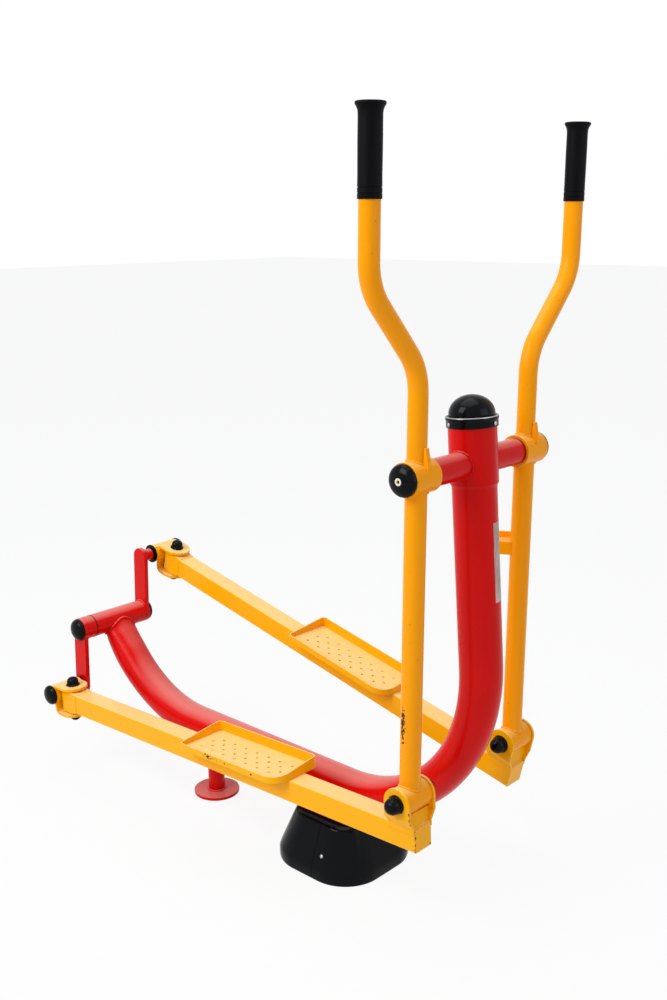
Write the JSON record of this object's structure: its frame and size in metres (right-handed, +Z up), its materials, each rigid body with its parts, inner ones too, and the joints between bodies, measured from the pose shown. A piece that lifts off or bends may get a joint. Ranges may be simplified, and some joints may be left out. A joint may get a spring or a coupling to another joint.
{
  "type": "outdoor cross trainer",
  "caption": "Outdoor cross trainer: bent tube frame, swinging arms with grips, pedal beams with foot trays, and a rear crank.",
  "frame": {"origin": "on the ground, at the centre of the base plate's anchor holes", "axes": "+Z up, +X towards the head post, +Y to the user's left"},
  "size_m": [1.2941, 0.686, 1.6272],
  "materials": {
    "red_coat": "gloss",
    "yellow_coat": "gloss",
    "black_plastic": "gloss",
    "black_rubber": "matte",
    "steel": "satin",
    "bronze": "satin"
  },
  "bodies": {
    "frame": {"main_tube": "red_coat", "head_sleeve": "red_coat", "cross_tube": "red_coat", "pivot_axle": "steel", "cap_collar": "black_plastic", "cap_dome": "black_plastic", "cap_screws": "steel", "crank_housing": "red_coat", "crank_bearings": "steel", "front_leg": "red_coat", "base_plate": "red_coat", "base_cover_front": "black_plastic", "base_cover_rear": "black_plastic", "cover_screws": "steel", "rear_leg": "red_coat", "rear_foot": "red_coat"},
    "crank": {"crank_shaft": "steel", "crank_hubs": "red_coat", "crank_arm_right": "red_coat", "crank_arm_left": "red_coat", "crank_caps": "black_plastic"},
    "arm_right": {"arm_tube_right": "yellow_coat", "handle_right": "yellow_coat", "arm_hub_right": "yellow_coat", "hub_bearings_right": "steel", "hub_cap_right": "black_plastic", "lower_bush_right": "yellow_coat", "grip_right": "black_rubber"},
    "pedal_right": {"beam_right": "yellow_coat", "beam_eye_right": "yellow_coat", "eye_bushes_right": "bronze", "clevis_right": "yellow_coat", "tray_right": "yellow_coat", "pivot_bolt_right": "steel", "bolt_caps_right": "black_plastic"},
    "swivel_right": {"yoke_right": "yellow_coat", "crank_pin_right": "steel", "yoke_caps_right": "black_plastic", "swivel_pin_right": "steel"},
    "arm_left": {"arm_tube_left": "yellow_coat", "handle_left": "yellow_coat", "arm_hub_left": "yellow_coat", "hub_bearings_left": "steel", "hub_cap_left": "black_plastic", "lower_bush_left": "yellow_coat", "grip_left": "black_rubber", "stop_bracket": "yellow_coat"},
    "pedal_left": {"beam_left": "yellow_coat", "beam_eye_left": "yellow_coat", "eye_bushes_left": "bronze", "clevis_left": "yellow_coat", "tray_left": "yellow_coat", "pivot_bolt_left": "steel", "bolt_caps_left": "black_plastic"},
    "swivel_left": {"yoke_left": "yellow_coat", "crank_pin_left": "steel", "yoke_caps_left": "black_plastic", "swivel_pin_left": "steel"}
  },
  "joints": [
    {"name": "arm_right_swing", "type": "hinge", "parent": "frame", "child": "arm_right", "pos_m": [0.345, -0.178, 0.98], "axis": [0, 1, 0], "range_deg": [0, 13.19]},
    {"name": "arm_left_swing", "type": "hinge", "parent": "frame", "child": "arm_left", "pos_m": [0.345, 0.178, 0.98], "axis": [0, 1, 0], "range_deg": [-15.19, 0]},
    {"name": "crank_turn", "type": "hinge", "parent": "frame", "child": "crank", "pos_m": [-0.843, 0, 0.378], "axis": [0, 1, 0], "range_deg": [0, 90.1]},
    {"name": "pedal_right_tilt", "type": "hinge", "parent": "arm_right", "child": "pedal_right", "pos_m": [0.33689, -0.178, 0.33305], "axis": [0, 1, 0], "range_deg": [-6.25, 0]},
    {"name": "pedal_left_tilt", "type": "hinge", "parent": "arm_left", "child": "pedal_left", "pos_m": [0.33589, 0.178, 0.33306], "axis": [0, 1, 0], "range_deg": [0, 6.31]},
    {"name": "yoke_right_swivel", "type": "hinge", "parent": "pedal_right", "child": "swivel_right", "pos_m": [-0.80207, -0.178, 0.20996], "axis": [-0.0404, 0, 0.9992], "range_deg": [-1.5, 1.5]},
    {"name": "yoke_left_swivel", "type": "hinge", "parent": "pedal_left", "child": "swivel_left", "pos_m": [-0.79534, 0.178, 0.51391], "axis": [0.2239, 0, 0.9746], "range_deg": [-1.5, 1.5]}
  ],
  "couplings": [
    {"joint": "arm_left_swing", "follows": "arm_right_swing", "ratio": -1.1501},
    {"joint": "crank_turn", "follows": "arm_right_swing", "ratio": 6.8219},
    {"joint": "pedal_right_tilt", "follows": "arm_right_swing", "ratio": -0.47237},
    {"joint": "pedal_left_tilt", "follows": "arm_right_swing", "ratio": 0.47688}
  ]
}
